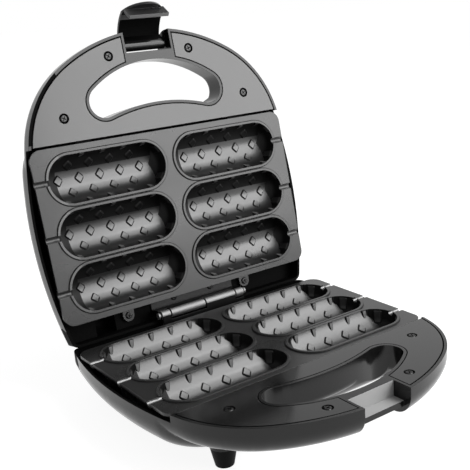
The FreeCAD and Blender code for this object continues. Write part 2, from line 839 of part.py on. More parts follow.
def latch():
    """Latch in its closed place: barrel, bowed plate with a thumb tab, and hook bar."""
    centre_d = latch_plate_centre()
    side = latch_half_width
    outer = bar_along_x(latch_plate_radius, -side, side, centre_d, -latch_middle)
    inner = bar_along_x(latch_plate_radius - latch_plate_thickness, -far, far, centre_d, -latch_middle)
    band = outer.cut(inner).common(box(-far, far, latch_pivot_reach, far, -latch_tip, latch_top))
    dome_z = -latch_tip + latch_tab_radius
    dome = bar_rearward(latch_tab_radius, 0.0, -far, 2 * far, dome_z)
    band = band.common(dome.fuse(box(-far, far, -far, far, dome_z, far)))
    barrel = bar_along_x(latch_barrel_radius, -side, side, latch_pivot_reach, latch_pivot_height)
    root_low = latch_pivot_height - latch_web_drop
    root = profile_prism([(latch_pivot_reach, latch_pivot_height + latch_barrel_radius),
                          (plate_middle(latch_top), latch_top),
                          (plate_middle(root_low), root_low),
                          (latch_pivot_reach, root_low)], -side, side)
    hook_top = -catch_top - catch_thickness - hook_play
    hook = box(-latch_hook_half_width, latch_hook_half_width, hook_tip_reach,
               plate_middle(hook_top - hook_thickness), hook_top - hook_thickness, hook_top)
    solid = join([band, barrel, root, hook])
    bore = bar_along_x(latch_pin_radius + running_clearance, -far, far, latch_pivot_reach, latch_pivot_height)
    return solid.cut(bore).removeSplitter()


def latch_pin():
    side = notch_half_width + notch_rim - latch_pin_recess
    return bar_along_x(latch_pin_radius, -side, side, latch_pivot_reach, -latch_pivot_height)


def group(shapes):
    return Part.makeCompound(shapes)


def half_pieces():
    """The pieces that both halves have, in the base's own place."""
    return {
        "handle_cover": handle_cover(),
        "cooking_plate": cooking_plate(),
        "cover_screws": group([screw(x, d, -rim_gap - screw_head_height, screw_length)
                               for x, d in cover_screw_places()]),
        "plate_screws": group([screw(s * lug_x, lug_reach, -lug_drop, screw_length) for s in (-1, 1)]),
        "hinge_screws": group([screw(x, leaf_screw_reach, -leaf_foot_drop, screw_length)
                               for x in leaf_screw_places()]),
        "heating_element": heating_element(),
        "element_clamp": element_clamp(),
        "clamp_screw": screw(0.0, side_middle, -(element_drop + element_radius + clamp_thickness),
                             screw_length, up=False),
        "heat_reflector": heat_reflector(),
    }


def lid_place(shape):
    """Mirror a half into the lid and swing it open."""
    lid = shape.mirror(V(0, 0, 0), V(0, 0, 1))
    return swing(lid)


def swing(shape):
    turned = shape.copy()
    turned.rotate(V(0, 0, axis_height), V(1, 0, 0), -open_angle)
    return turned


def all_pieces():
    shared = half_pieces()
    pieces = {"base_" + name: shape for name, shape in shared.items()}
    pieces.update({"lid_" + name: lid_place(shape) for name, shape in shared.items()})
    pieces["base_shell"] = base_shell()
    pieces["lid_shell"] = lid_place(lid_shell())
    pieces["base_hinge_leaf"] = hinge_leaf(0, axis_height)
    pieces["lid_hinge_leaf"] = lid_place(hinge_leaf(1, -axis_height))
    pieces["hinge_pin"] = hinge_pin()
    for name, x, d in foot_places():
        pieces[name + "_foot"] = foot(x, d)
    seat = body_bottom - foot_web
    pieces["foot_screws"] = group([screw(x, d, seat, screw_length, up=False) for name, x, d in foot_places()])
    pieces["cord_gland"] = cord_gland()
    pieces["terminal_block"] = terminal_block()
    pieces["block_screw"] = screw(block_x, block_middle(), body_bottom + wall + block_height / 2,
                                  block_height / 2 + wall / 2 - seat_gap)
    pieces["thermostat"] = thermostat()
    pieces["thermal_fuse"] = thermal_fuse()
    for name, sign in (("power", -1), ("ready", 1)):
        pieces[name + "_lamp_lens"] = lid_place(lens(sign * lens_x))
        pieces[name + "_lamp"] = lid_place(lamp(sign * lens_x))
    pieces["latch_pin"] = lid_place(latch_pin())
    opened = latch()
    opened.rotate(at(0, latch_pivot_reach, latch_pivot_height), V(1, 0, 0), -latch_open_angle)
    pieces["latch"] = swing(opened)
    return pieces


def place_on_floor(pieces):
    """Shift all pieces so that the box's bottom centre is the origin, and return the shift."""
    bounds = FreeCAD.BoundBox()
    for shape in pieces.values():
        bounds.add(shape.optimalBoundingBox())
    shift = V(-(bounds.XMin + bounds.XMax) / 2, -(bounds.YMin + bounds.YMax) / 2, -bounds.ZMin)
    for shape in pieces.values():
        shape.translate(shift)
    return shift


def report_place(name, shift, x, d, z):
    point = at(x, d, z) + shift
    print(name, [round(value, 3) for value in (point.x, point.y, point.z)])


def main():
    os.makedirs("parts", exist_ok=True)
    pieces = all_pieces()
    shift = place_on_floor(pieces)
    for name in sorted(pieces):
        shape = pieces[name]
        shape.exportStep("parts/" + name + ".step")
        print(name, "solids", len(shape.Solids), "valid", shape.isValid(), "volume", round(shape.Volume))
    report_place("hinge axis", shift, hinge_middle, 0, axis_height)
    pivot = at(0, latch_pivot_reach, latch_pivot_height)
    turn = FreeCAD.Rotation(V(1, 0, 0), -open_angle)
    pivot = turn.multVec(pivot - V(0, 0, axis_height)) + V(0, 0, axis_height)
    report_place("latch pivot", shift, pivot.x, -pivot.y, pivot.z)
    report_place("front left foot", shift, -foot_x, front_foot_reach, body_bottom - foot_height)
    report_place("gland mouth", shift, gland_x, -(rear_reach + gland_flange + gland_nose_length), -gland_drop)


main()
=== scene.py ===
# %% [markdown]
# # Electric sausage maker, shown open
# The imported CAD model gives every piece its place. This lesson photographs it, dresses it in its real
# finishes with some painted light and shade among them, and models what the CAD leaves plain: the raised
# marks in the pockets, the cross recesses of the screws, and the dark lines of painted shade round the
# covers and the pocket rims. Lengths in Blender are in metres, and the lesson's own sizes are in mm. +Z is
# up and the front looks along -Y.

# %% Load the frame
import bpy
import json
import math
from mathutils import Matrix, Vector

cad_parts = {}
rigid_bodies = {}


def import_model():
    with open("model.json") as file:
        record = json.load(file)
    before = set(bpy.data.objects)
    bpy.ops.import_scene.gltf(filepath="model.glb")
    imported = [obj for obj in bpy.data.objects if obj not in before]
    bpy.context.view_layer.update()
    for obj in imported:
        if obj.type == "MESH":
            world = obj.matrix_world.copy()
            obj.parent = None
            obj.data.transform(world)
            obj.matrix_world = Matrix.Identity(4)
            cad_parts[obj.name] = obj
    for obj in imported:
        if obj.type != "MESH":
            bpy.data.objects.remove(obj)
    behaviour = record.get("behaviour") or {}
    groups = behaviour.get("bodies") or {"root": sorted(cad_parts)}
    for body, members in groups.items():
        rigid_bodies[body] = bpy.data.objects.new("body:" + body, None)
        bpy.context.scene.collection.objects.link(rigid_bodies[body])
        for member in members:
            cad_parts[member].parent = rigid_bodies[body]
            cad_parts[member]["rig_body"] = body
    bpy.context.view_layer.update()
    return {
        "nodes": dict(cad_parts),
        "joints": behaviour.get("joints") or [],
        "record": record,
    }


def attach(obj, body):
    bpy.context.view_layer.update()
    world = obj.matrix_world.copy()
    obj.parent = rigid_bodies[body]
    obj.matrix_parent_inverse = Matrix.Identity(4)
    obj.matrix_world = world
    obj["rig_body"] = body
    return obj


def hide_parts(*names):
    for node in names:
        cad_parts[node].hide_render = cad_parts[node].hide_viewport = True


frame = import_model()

joints = {joint["name"]: joint for joint in frame["joints"]}
hinge = Vector(joints["lid_hinge"]["pos_m"])
open_angle = math.radians(-joints["lid_hinge"]["range_deg"][0])
axis = Vector((0.0, hinge.y, hinge.z))
MM = 0.001

# %% [markdown]
# ## The camera
# The photograph was taken from the front left, a little above the handles. The place, the turn and the
# lens were fitted to the screws, the notch corners and the stick grooves. They are given from the hinge
# axis, so the camera follows the model if its box changes. A small shift stands for the photograph's own
# framing.

# %% Camera
PHOTO_PIXELS = 470
camera_from_axis = Vector((-345.451, -585.951, 256.425)) * MM
yaw, pitch, roll = [math.radians(v) for v in (-37.339, -17.35, -3.122)]
focal_pixels, centre_x, centre_y = 863.874, 291.642, 247.172

look = Vector((-math.sin(yaw) * math.cos(pitch), math.cos(yaw) * math.cos(pitch), math.sin(pitch)))
level_right = look.cross(Vector((0, 0, 1))).normalized()
level_up = level_right.cross(look)
right = level_right * math.cos(roll) + level_up * math.sin(roll)
up = level_up * math.cos(roll) - level_right * math.sin(roll)

lens = bpy.data.cameras.new("camera")
camera = bpy.data.objects.new("camera", lens)
bpy.context.scene.collection.objects.link(camera)
facing = Matrix((right, up, -look)).transposed().to_4x4()
camera.matrix_world = Matrix.Translation(axis + camera_from_axis) @ facing
lens.sensor_width = 36.0
lens.lens = focal_pixels / PHOTO_PIXELS * lens.sensor_width
lens.shift_x = (PHOTO_PIXELS / 2 - centre_x) / PHOTO_PIXELS
lens.shift_y = (centre_y - PHOTO_PIXELS / 2) / PHOTO_PIXELS
bpy.context.scene.camera = camera
bpy.context.scene.view_settings.view_transform = "Standard"
print("camera at", [round(v, 3) for v in camera.location], "lens", round(lens.lens, 1))

# %% [markdown]
# ## Small tools
# Modelling operators act on everything that is selected, so one object is picked at a time. The CAD meshes
# are loose triangles: a copy is joined where its corners meet and shaded smooth over its curves, while its
# real edges stay sharp. Weighted normals keep the flat faces looking flat.

# %% Selecting and shaping
def pick(piece):
    """Select one object alone."""
    bpy.ops.object.select_all(action="DESELECT")
    piece.select_set(True)
    bpy.context.view_layer.objects.active = piece


def edit(piece):
    """Enter edit mode on one object."""
    pick(piece)
    bpy.ops.object.mode_set(mode="EDIT")


def leave():
    """Go back to object mode."""
    bpy.ops.object.mode_set(mode="OBJECT")


def select_faces(piece, wanted):
    """Enter edit mode with the wanted faces selected."""
    edit(piece)
    bpy.ops.mesh.select_mode(type="FACE")
    bpy.ops.mesh.select_all(action="DESELECT")
    leave()
    for face in piece.data.polygons:
        face.select = wanted(face)
    edit(piece)


def apply_all(piece):
    """Apply the modifiers in their order."""
    pick(piece)
    for modifier in list(piece.modifiers):
        bpy.ops.object.modifier_apply(modifier=modifier.name)


def smooth(piece, angle=30):
    """Smooth shading over curves, with flat faces kept flat."""
    pick(piece)
    bpy.ops.object.shade_smooth_by_angle(angle=math.radians(angle))
    weighted = piece.modifiers.new("weighted", "WEIGHTED_NORMAL")
    weighted.keep_sharp = True
    apply_all(piece)


def finish_place(piece):
    """Put the object's place into its mesh."""
    pick(piece)
    bpy.ops.object.transform_apply(location=True, rotation=True, scale=True)


def dissolve_flat(piece, angle):
    """Join faces that lie flat to each other within an angle in degrees."""
    edit(piece)
    bpy.ops.mesh.select_all(action="SELECT")
    bpy.ops.mesh.dissolve_limited(angle_limit=math.radians(angle))
    leave()


def give_coats(piece, coats):
    """Add materials to a piece in their order."""
    for coat in coats:
        piece.data.materials.append(coat)


# %% Copies of CAD nodes
JOIN_DISTANCE = 0.000002


def merged_copy(node, name):
    """A joined and smoothed copy of a CAD node, without its materials."""
    piece = bpy.data.objects.new(name, frame["nodes"][node].data.copy())
    bpy.context.scene.collection.objects.link(piece)
    edit(piece)
    bpy.ops.mesh.select_all(action="SELECT")
    bpy.ops.mesh.remove_doubles(threshold=JOIN_DISTANCE)
    bpy.ops.mesh.customdata_custom_splitnormals_clear()
    leave()
    smooth(piece)
    piece.data.materials.clear()
    return piece


def stands_for(piece, node, body):
    """Make the piece move with a body and take the place of a node, which is hidden."""
    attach(piece, body)
    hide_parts(node)
    print(piece.name, "faces", len(piece.data.polygons))


# %% [markdown]
# ## Shared effects
# Moulded and cast surfaces share two effects: a grain that is too fine to model, with a slight softening of
# every edge, and a slow change of gloss from handling. Both are node groups that each material sets for
# itself.

# %% Node groups
def new_group(name, inputs, outputs):
    """A shader group with its sockets, and its input and output nodes."""
    group = bpy.data.node_groups.new(name, "ShaderNodeTree")
    for socket, value in inputs.items():
        made = group.interface.new_socket(socket, in_out="INPUT", socket_type="NodeSocketFloat")
        made.default_value = value
    for socket, kind in outputs.items():
        group.interface.new_socket(socket, in_out="OUTPUT", socket_type=kind)
    return group, group.nodes.new("NodeGroupInput"), group.nodes.new("NodeGroupOutput")


grain, enter, leave_group = new_group(
    "fine grain and soft edges", {"Scale": 900.0, "Depth": 0.1, "Edge": 0.0004},
    {"Normal": "NodeSocketVector"})
place = grain.nodes.new("ShaderNodeTexCoord")
specks = grain.nodes.new("ShaderNodeTexNoise")
specks.inputs["Detail"].default_value = 4.0
rounded = grain.nodes.new("ShaderNodeBevel")
rounded.samples = 4
bump = grain.nodes.new("ShaderNodeBump")
bump.inputs["Distance"].default_value = 0.0001
grain.links.new(place.outputs["Object"], specks.inputs["Vector"])
grain.links.new(enter.outputs["Scale"], specks.inputs["Scale"])
grain.links.new(enter.outputs["Edge"], rounded.inputs["Radius"])
grain.links.new(enter.outputs["Depth"], bump.inputs["Strength"])
grain.links.new(specks.outputs["Fac"], bump.inputs["Height"])
grain.links.new(rounded.outputs["Normal"], bump.inputs["Normal"])
grain.links.new(bump.outputs["Normal"], leave_group.inputs["Normal"])

handling, enter, leave_group = new_group(
    "gloss changed by handling", {"Scale": 18.0, "Low": 0.2, "High": 0.3},
    {"Roughness": "NodeSocketFloat", "Mask": "NodeSocketFloat"})
place = handling.nodes.new("ShaderNodeTexCoord")
clouds = handling.nodes.new("ShaderNodeTexNoise")
clouds.inputs["Detail"].default_value = 5.0
spread = handling.nodes.new("ShaderNodeMapRange")
spread.inputs["From Min"].default_value = 0.3
spread.inputs["From Max"].default_value = 0.7
handling.links.new(place.outputs["Object"], clouds.inputs["Vector"])
handling.links.new(enter.outputs["Scale"], clouds.inputs["Scale"])
handling.links.new(clouds.outputs["Fac"], spread.inputs["Value"])
handling.links.new(enter.outputs["Low"], spread.inputs["To Min"])
handling.links.new(enter.outputs["High"], spread.inputs["To Max"])
handling.links.new(spread.outputs["Result"], leave_group.inputs["Roughness"])
handling.links.new(clouds.outputs["Fac"], leave_group.inputs["Mask"])
print("groups", [group.name for group in bpy.data.node_groups])

# %% [markdown]
# ## Materials
# One maker covers every finish: a colour that drifts a little between two tones, the handling group on the
# roughness and the grain group on the normal. What tells the finishes apart is written where each is made.
# Nearly everything on this cooker is black, so most finishes differ in gloss and in how strongly they mirror.

# %% Material maker
def finish(name, dark, light, low, high, metallic=0.0, grain_scale=900.0, grain_depth=0.1, edge=0.0004,
           patches=18.0, transmission=0.0, ior=1.5, specular=0.5):
    """A material between two tones of colour and two levels of roughness."""
    material = bpy.data.materials.new(name)
    material.use_nodes = True
    nodes, links = material.node_tree.nodes, material.node_tree.links
    shader = nodes["Principled BSDF"]
    gloss = nodes.new("ShaderNodeGroup")
    gloss.node_tree = handling
    gloss.inputs["Scale"].default_value = patches
    gloss.inputs["Low"].default_value = low
    gloss.inputs["High"].default_value = high
    surface = nodes.new("ShaderNodeGroup")
    surface.node_tree = grain
    surface.inputs["Scale"].default_value = grain_scale
    surface.inputs["Depth"].default_value = grain_depth
    surface.inputs["Edge"].default_value = edge
    tone = nodes.new("ShaderNodeMix")
    tone.data_type = "RGBA"
    tone.inputs["A"].default_value = (*dark, 1.0)
    tone.inputs["B"].default_value = (*light, 1.0)
    links.new(gloss.outputs["Mask"], tone.inputs["Factor"])
    links.new(tone.outputs["Result"], shader.inputs["Base Color"])
    links.new(gloss.outputs["Roughness"], shader.inputs["Roughness"])
    links.new(surface.outputs["Normal"], shader.inputs["Normal"])
    shader.inputs["Metallic"].default_value = metallic
    shader.inputs["Transmission Weight"].default_value = transmission
    shader.inputs["IOR"].default_value = ior
    shader.inputs["Specular IOR Level"].default_value = specular
    return material


def grey(value, tint=0.0):
    """A neutral grey, or a slightly warm one."""
    return (value * (1 + tint), value, value * (1 - tint))


# %% Housing, covers and plates
gloss_black = finish("gloss_black_plastic", grey(0.005), grey(0.008), 0.14, 0.2, grain_depth=0.03,
                     specular=0.35)
base_satin = finish("base_cover_plastic", grey(0.005), grey(0.008), 0.09, 0.13, grain_depth=0.02)
# The lid's cover is painted a lighter grey than the base's: painted light, for the light that falls on it.
lid_satin_painted_light = finish("lid_cover_plastic", grey(0.055), grey(0.065), 0.2, 0.26, grain_depth=0.08)
nonstick = finish("nonstick_face", grey(0.012), grey(0.02), 0.24, 0.34, grain_scale=1500,
                  grain_depth=0.25)
pocket_coat = finish("nonstick_pocket", grey(0.005), grey(0.009), 0.27, 0.33, ior=1.7,
                     grain_scale=1500, grain_depth=0.2)
# Painted shade: the pockets' front walls and ends, and the marks on the front walls.
pocket_painted_shade = finish("nonstick_pocket_painted_shade", grey(0.003), grey(0.006), 0.4, 0.5, grain_scale=1500,
                     grain_depth=0.2, specular=0.15)
mark_top = finish("mark_top", grey(0.012), grey(0.02), 0.27, 0.33, ior=1.7, grain_scale=1500,
                  edge=0.00005)
# The tongues' tops are painted much lighter than the marks: painted light.
tongue_top_painted_light = finish("tongue_top_painted_light", grey(0.11), grey(0.15), 0.27, 0.33, ior=1.7, grain_scale=1500,
                    edge=0.00005)
# Painted shade: the dark sides and outlines of the marks, and the step round each rim.
mark_side_painted_shade = finish("mark_side_painted_shade", grey(0.004), grey(0.008), 0.5, 0.6, grain_scale=1500, edge=0.00005,
                   specular=0.25)
# The rims are painted lighter than the face, as a painted highlight along each rim, and mirror more strongly.
rim_painted_highlight = finish("rim_painted_highlight", grey(0.022), grey(0.032), 0.22, 0.3, ior=1.62, edge=0.0002)
groove_polish = finish("groove_polish", grey(0.06), grey(0.08), 0.22, 0.3, ior=2.0, edge=0.0002)
gap_black = finish("gap_shadow", grey(0.002), grey(0.003), 0.5, 0.6, edge=0.00005, specular=0.02)
shade_black = finish("cast_in_shade", grey(0.002), grey(0.003), 0.5, 0.6, specular=0.03)
# The wall behind the latch is painted pale grey: painted light on the black moulding.
recess_painted_light = finish("latch_recess_painted_light", grey(0.30), grey(0.36), 0.4, 0.5, grain_depth=0.2)

# %% Hinge, screws, latch and feet
chrome = finish("hinge_plating", grey(0.2), grey(0.24), 0.52, 0.6, metallic=1.0, grain_depth=0.04,
                edge=0.0003)
# The hinge leaves are much darker than the plated barrel.
leaf_black = finish("hinge_leaf_dark", grey(0.02), grey(0.03), 0.35, 0.45, metallic=1.0,
                    edge=0.0003)
steel = finish("screw_steel", grey(0.035), grey(0.055), 0.26, 0.36, metallic=1.0, edge=0.0001)
# Painted shade in the screws' cross recesses.
screw_recess_painted_shade = finish("screw_recess_painted_shade", grey(0.004), grey(0.008), 0.5, 0.6, edge=0.0001, specular=0.1)
# The latch's lip edge is painted pale as light; its crown is a duller, lighter grey than the moulding.
latch_lip_painted_light = finish("latch_lip_painted_light", grey(0.13), grey(0.16), 0.3, 0.4, grain_depth=0.05)
latch_crown = finish("latch_crown", grey(0.016), grey(0.022), 0.25, 0.35, grain_depth=0.05)
rubber = finish("foot_plastic", grey(0.002), grey(0.004), 0.5, 0.6, grain_depth=0.2, specular=0.08)
gland_black = finish("gland_plastic", grey(0.01), grey(0.014), 0.4, 0.5, grain_depth=0.2)

# %% Pieces inside the halves and the lamps
sheath = finish("element_sheath", grey(0.16, 0.05), grey(0.26, 0.08), 0.35, 0.5, metallic=1.0,
                edge=0.0002)
sheet = finish("reflector_sheet", grey(0.6), grey(0.7), 0.2, 0.35, metallic=1.0, grain_depth=0.1)
natural = finish("terminal_plastic", (0.62, 0.60, 0.54), (0.7, 0.68, 0.62), 0.4, 0.5)
can = finish("thermostat_can", grey(0.5), grey(0.6), 0.3, 0.4, metallic=1.0)
braid = finish("fuse_braid", (0.6, 0.57, 0.48), (0.78, 0.75, 0.66), 0.7, 0.85, grain_scale=2500,
               grain_depth=1.0)
red = finish("red_lens", (0.45, 0.01, 0.008), (0.55, 0.02, 0.012), 0.1, 0.15, transmission=0.5)
green = finish("green_lens", (0.01, 0.25, 0.03), (0.015, 0.32, 0.05), 0.1, 0.15, transmission=0.5)
glass = finish("lamp_glass", grey(0.85), grey(0.9), 0.02, 0.05, transmission=1.0)
print("materials", len(bpy.data.materials))

# %% [markdown]
# ## Stage and light
# The photograph has a pure white ground and broad soft light. The floor keeps a soft shadow. The world is
# white to the camera and in reflections, and dimmer as a light, so that colours come out as written. A black
# glossy object is drawn mostly by what it mirrors, so the world is dimmed overhead, which gives the plates
# their contrast, and two large soft boxes make the broad lights.

# %% Floor
FLOOR_SIZE, FLOOR_GREY, FLOOR_GLOW = 12.0, 0.3, 0.9


def seen_directly(nodes, links):
    """1 for what the camera sees, straight, mirrored or through glass, and 0 for light on the object."""
    path = nodes.new("ShaderNodeLightPath")
    first, second = nodes.new("ShaderNodeMath"), nodes.new("ShaderNodeMath")
    first.operation = second.operation = "MAXIMUM"
    links.new(path.outputs["Is Camera Ray"], first.inputs[0])
    links.new(path.outputs["Is Glossy Ray"], first.inputs[1])
    links.new(first.outputs["Value"], second.inputs[0])
    links.new(path.outputs["Is Transmission Ray"], second.inputs[1])
    return second.outputs["Value"]


bpy.ops.object.select_all(action="DESELECT")
bpy.ops.mesh.primitive_plane_add(size=FLOOR_SIZE, location=(0, 0, 0))
floor = bpy.context.object
floor.name = "floor"
finish_place(floor)
floor_white = bpy.data.materials.new("floor_white")
floor_white.use_nodes = True
nodes, links = floor_white.node_tree.nodes, floor_white.node_tree.links
shader = nodes["Principled BSDF"]
shader.inputs["Base Color"].default_value = (*grey(FLOOR_GREY), 1)
shader.inputs["Roughness"].default_value = 0.9
shader.inputs["Specular IOR Level"].default_value = 0.0
shader.inputs["Emission Color"].default_value = (1, 1, 1, 1)
glow = nodes.new("ShaderNodeMath")
glow.operation = "MULTIPLY"
glow.inputs[1].default_value = FLOOR_GLOW
links.new(seen_directly(nodes, links), glow.inputs[0])
links.new(glow.outputs["Value"], shader.inputs["Emission Strength"])
floor.data.materials.append(floor_white)
print("floor", FLOOR_SIZE, "m wide")

# %% World
DIM_FROM, DIM_TO, DIM_LEVEL = 0.35, 0.75, 0.3
ROOM_LIGHT = 0.36

world = bpy.data.worlds.new("white_room")
bpy.context.scene.world = world
world.use_nodes = True
nodes, links = world.node_tree.nodes, world.node_tree.links
sky = nodes["Background"]
sky.inputs["Color"].default_value = (1, 1, 1, 1)
direction = nodes.new("ShaderNodeTexCoord")
height = nodes.new("ShaderNodeSeparateXYZ")
ceiling = nodes.new("ShaderNodeMapRange")
ceiling.interpolation_type = "SMOOTHSTEP"
ceiling.inputs["From Min"].default_value = DIM_FROM
ceiling.inputs["From Max"].default_value = DIM_TO
ceiling.inputs["To Min"].default_value = 1.0
ceiling.inputs["To Max"].default_value = DIM_LEVEL
level = nodes.new("ShaderNodeMapRange")
level.inputs["To Min"].default_value = ROOM_LIGHT
links.new(direction.outputs["Generated"], height.inputs["Vector"])
links.new(height.outputs["Z"], ceiling.inputs["Value"])
links.new(seen_directly(nodes, links), level.inputs["Value"])
links.new(ceiling.outputs["Result"], level.inputs["To Max"])
links.new(level.outputs["Result"], sky.inputs["Strength"])
print("world", world.name)


# %% Lamps
def soft_box(name, place, target, width, height, radiance):
    """A rectangular soft lamp turned towards a target; its power follows from its size and brightness."""
    data = bpy.data.lights.new(name, "AREA")
    data.shape = "RECTANGLE"
    data.size, data.size_y = width, height
    data.energy = math.pi * width * height * radiance
    lamp = bpy.data.objects.new(name, data)
    bpy.context.scene.collection.objects.link(lamp)
    lamp.location = place
    lamp.rotation_euler = (Vector(target) - Vector(place)).to_track_quat("-Z", "Y").to_euler()
    return lamp


lamps = [
    soft_box("front_right_box", place=(0.78, -1.0, 0.75), target=(0, 0.1, 0.2), width=1.0, height=1.3,
             radiance=5.6),
    soft_box("top_box", place=(0.6, -0.42, 1.3), target=(0, 0, 0.04), width=1.0, height=0.7,
             radiance=4.2),
]
print("lamps", [lamp.name for lamp in lamps])

# %% [markdown]
# ## Shells and covers
# The two shells are gloss black mouldings, and a satin cover closes each handle. Their CAD shapes are right,
# so joined copies carry the finish. The insides that the light hardly reaches are painted dull black as
# shade, face by face, and so is the flat rim beside the lid's cover on one side. The wall behind the base's
# latch is painted pale grey as light. Base and lid are one drawing, so a face of the lid is first moved to
# the base's place, and one set of rules then serves both. There, x is the way across, d the reach in front
# of the hinge axis and z the height from the plane in which the halves meet, all in mm.

# %% The places of base and lid
PLANE = 47.0


def to_open_lid():
    """The move that takes the base's place to the open lid's: turned over, then swung back."""
    over = Matrix.Translation((0, 0, PLANE * MM)) @ Matrix.Rotation(math.pi, 4, "Y")
    over = over @ Matrix.Translation((0, 0, -PLANE * MM))
    swing = Matrix.Translation(axis) @ Matrix.Rotation(-open_angle, 4, "X") @ Matrix.Translation(-axis)
    return swing @ over


def to_base(half):
    """The move that takes a half, as it is shown, to the base's place."""
    return Matrix.Identity(4) if half == "base" else to_open_lid().inverted()


def drawn(point):
    """x, d and z in mm for a point in the base's place."""
    return point.x / MM, (axis.y - point.y) / MM, point.z / MM - PLANE


print("lid's move from the base's place", [round(v, 4) for v in to_open_lid().translation])

# %% Which faces of a shell get painted shade and which get painted light
# FACING is the least part of its normal that a flat face has along the direction it looks in.
FACING, LEVEL_MARGIN = 0.9, 0.1
RECESS_REACH, RECESS_HALF_WIDTH, RECESS_MARGIN, RECESS_LEDGE = 210.0, 20.4, 0.6, (-13.0, -11.0)
WELL_REACH, WELL_HEIGHT, WELL_HALF_WIDTH = (-4.4, 17.6), (-20.0, -5.8), 114.0
LEDGE_HEIGHT, BELLY_FRONT, BELLY_TOP = (-7.0, -5.0), 150.0, -17.0
BELLY_MIDDLE = Vector((0.0, 75.0, -17.0))
SHELL_RIM, GAP_SIDE, GAP_REACH = -0.4, 72.0, 200.0


def in_rear_well(point):
    """Whether a point is in the well behind the plate, where the hinge sits."""
    x, d, z = drawn(point)
    return (abs(x) < WELL_HALF_WIDTH and WELL_REACH[0] < d < WELL_REACH[1]
            and WELL_HEIGHT[0] < z < WELL_HEIGHT[1])


def in_shade(point, normal):
    """Whether a shell's face is in the well, on the ledge beside the plate, or inside the belly."""
    x, d, z = drawn(point)
    inward = (BELLY_MIDDLE - Vector((x, d, z))).dot(Vector((normal.x, -normal.y, normal.z))) > 0.0
    on_ledge = LEDGE_HEIGHT[0] < z < LEDGE_HEIGHT[1] and normal.z > FACING
    in_belly = d < BELLY_FRONT and (on_ledge or z < BELLY_TOP and inward)
    return in_rear_well(point) or in_belly


def in_cover_gap(point, normal):
    """Whether a face is on the flat rim beside the cover, on the side where it is painted black as the shade
    of a gap.
    """
    x, d, z = drawn(point)
    on_rim = abs(z - SHELL_RIM) < LEVEL_MARGIN and normal.z > FACING
    return on_rim and x > GAP_SIDE and BELLY_FRONT < d < GAP_REACH


def behind_latch(point, normal):
    """Whether a point is on the flat wall behind the closed latch, or on the ledge below it; both are painted
    pale grey as light.
    """
    x, d, z = drawn(point)
    on_wall = abs(d - RECESS_REACH) < RECESS_MARGIN and normal.y < -FACING
    on_ledge = (d > RECESS_REACH - RECESS_MARGIN and RECESS_LEDGE[0] < z < RECESS_LEDGE[1]
                and normal.z > FACING)
    return abs(x) < RECESS_HALF_WIDTH and (on_wall or on_ledge)


# %% Shells
SHELL_COATS = (gloss_black, recess_painted_light, shade_black)
RECESS, SHADE = 1, 2
for half in ("base", "lid"):
    shell = merged_copy(half + "_shell", half + "_moulded_shell")
    give_coats(shell, SHELL_COATS)
    back = to_base(half)
    turn = back.to_3x3()
    for face in shell.data.polygons:
        point, normal = back @ face.center, turn @ face.normal
        # Faces in shade, and the lid's rim beside its cover on one side, are painted black as shade; the wall
        # behind the base's latch is painted pale grey as light.
        if in_shade(point, normal) or half == "lid" and in_cover_gap(point, normal):
            face.material_index = SHADE
        elif half == "base" and behind_latch(point, normal):
            face.material_index = RECESS
    stands_for(shell, half + "_shell", half)

# %% [markdown]
# ## Handle covers
# A cover is a flat plate let into the handle. The gap round it is drawn by a narrow dark chamfer along its
# edges: a line painted on the flat plate would have no depth, and a real gap would need a change in the CAD.

# %% Covers
COVER_CHAMFER, CORNER_ANGLE = 0.55, 50


def add_chamfer(piece, name, width, coat, by_weight=False, clamp=False):
    """A one-step bevel along corners, or along edges with a bevel weight; its faces take a coat."""
    chamfer = piece.modifiers.new(name, "BEVEL")
    chamfer.width = width * MM
    chamfer.segments = 1
    chamfer.material = coat
    chamfer.limit_method = "WEIGHT" if by_weight else "ANGLE"
    chamfer.angle_limit = math.radians(CORNER_ANGLE)
    chamfer.use_clamp_overlap = clamp


# The lid's cover takes the lighter grey of painted light.
for half, cover_finish in (("base", base_satin), ("lid", lid_satin_painted_light)):
    cover = merged_copy(half + "_handle_cover", half + "_cover_plate")
    give_coats(cover, (cover_finish, gap_black))
    dissolve_flat(cover, 0.5)
    add_chamfer(cover, "dark edge", COVER_CHAMFER, coat=1)
    apply_all(cover)
    smooth(cover)
    stands_for(cover, half + "_handle_cover", half)

# %% [markdown]
# ## Cooking plates
# A plate is one casting: a satin non-stick face with six pockets, each with a raised rim and a groove for
# the stick. A painted mask would blur on such narrow rims, so each face of the copy takes its coat by its
# place on the casting. The rims are painted lighter than the face, as a painted highlight. The pockets'
# walls are smoother and look metallic. Their front walls and their ends look dark, so they get a duller,
# darker coat of painted shade, and the troughs are cut across where the wide painted shade at the left ends
# begins. The rims' outer edges get a dark chamfer of painted shade, as the covers have, and the faces in
# the gap under the shell's edge are painted black as shade.

# %% Sizes of the casting
MIDDLE_ROW = 79.5
ROW_REACH = (37.5, MIDDLE_ROW, 121.5)
POCKET_ENDS, MOUTH_HALF_WIDTH = (5.0, 104.5), 18.45
TROUGH_RADIUS, TROUGH_AXIS_RISE = 18.73, 2.93
TROUGH_SPAN, FACE_TOP, RIM_TOP = (-16.0, -0.32), -1.4, -0.3
RIM_WIDTH, RIM_STEP_MARGIN, RIM_CHAMFER = 2.4, 0.5, 0.6
STICK_RADIUS, GROOVE_BOTTOM, COVERED_REACH = 2.4, -3.0, 147.0
DARK_SIDE, DARK_LEFT_END, DARK_RIGHT_END = 7.5, 11.5, 9.0
MOUTH_MARGIN, WALL_MARGIN = 0.02, 0.1
# How far normals point up: at least so far on walls and in grooves, and less on the step round a rim.
WALL_RISE, GROOVE_RISE, STEP_RISE = 0.05, 0.1, 0.5


